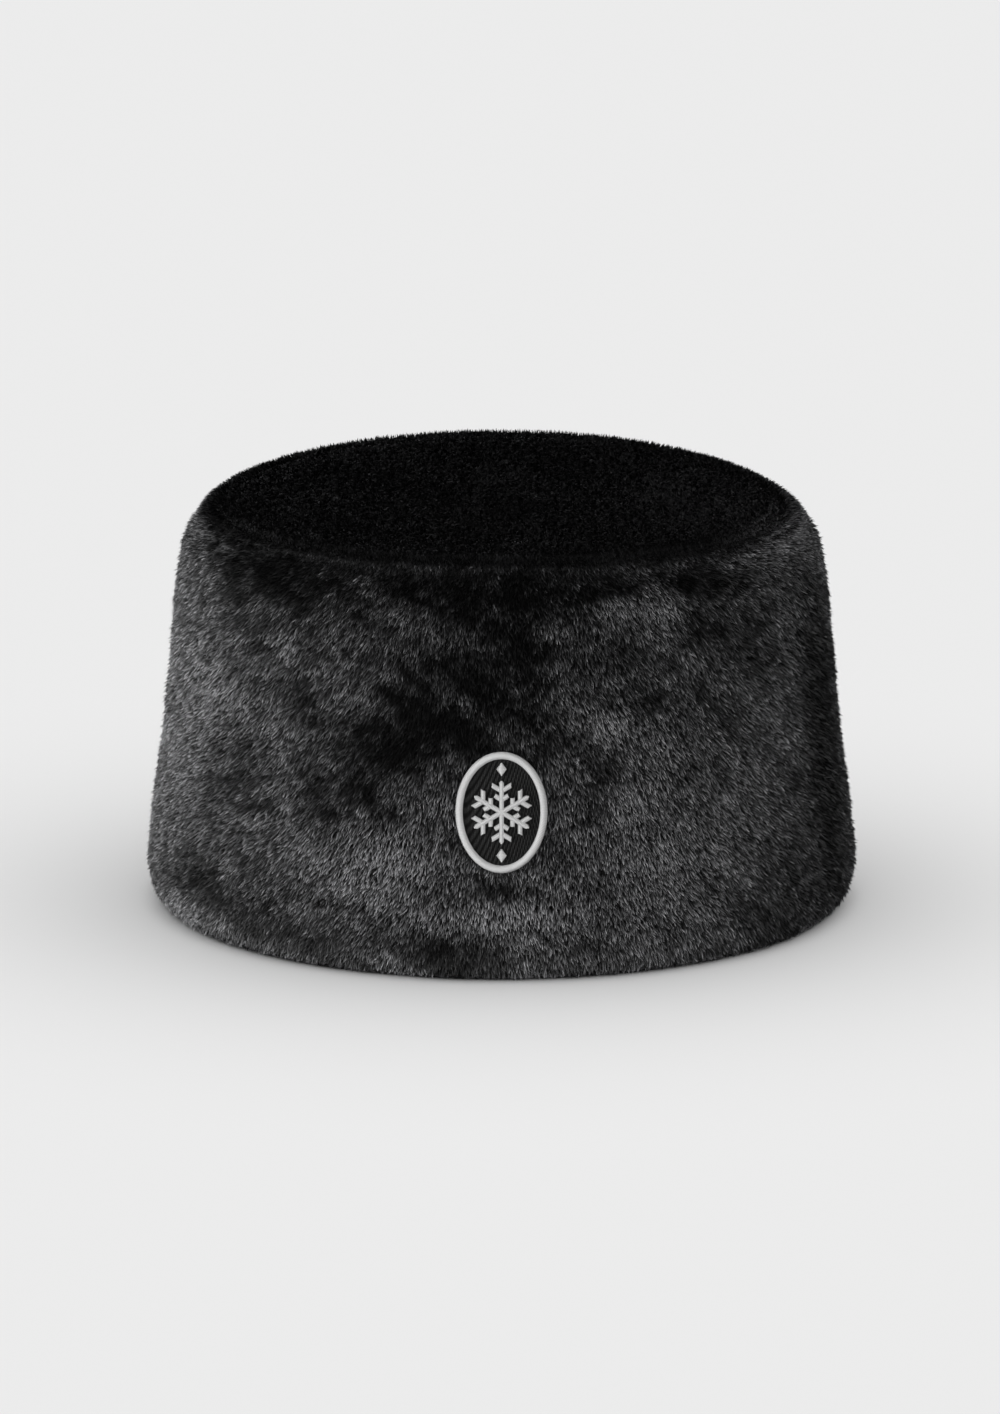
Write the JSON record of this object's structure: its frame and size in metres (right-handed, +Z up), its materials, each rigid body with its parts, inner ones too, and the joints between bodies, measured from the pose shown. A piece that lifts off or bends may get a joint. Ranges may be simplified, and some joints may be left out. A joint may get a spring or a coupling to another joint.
{
  "type": "fur hat",
  "caption": "Brimless black fur hat: a flared fur band sewn to an oval fur crown, open underneath for a head, with an embroidered badge in front.",
  "frame": {"origin": "middle of the rim, on the surface that the hat rests on", "axes": "+Z up through the crown, -Y to the front with the badge, +X to the right as seen from the front"},
  "size_m": [0.2125, 0.2285, 0.1264],
  "materials": {
    "fur": "deep black pile with a soft sheen",
    "black_thread": "filled embroidery, slightly glossy",
    "white_thread": "satin stitch, slightly glossy"
  },
  "bodies": {
    "root": {"fur_band": "fur", "fur_crown": "fur", "badge_ground": "black_thread", "badge_border": "white_thread", "badge_snowflake": "white_thread", "badge_diamond_top": "white_thread", "badge_diamond_bottom": "white_thread"}
  },
  "joints": []
}
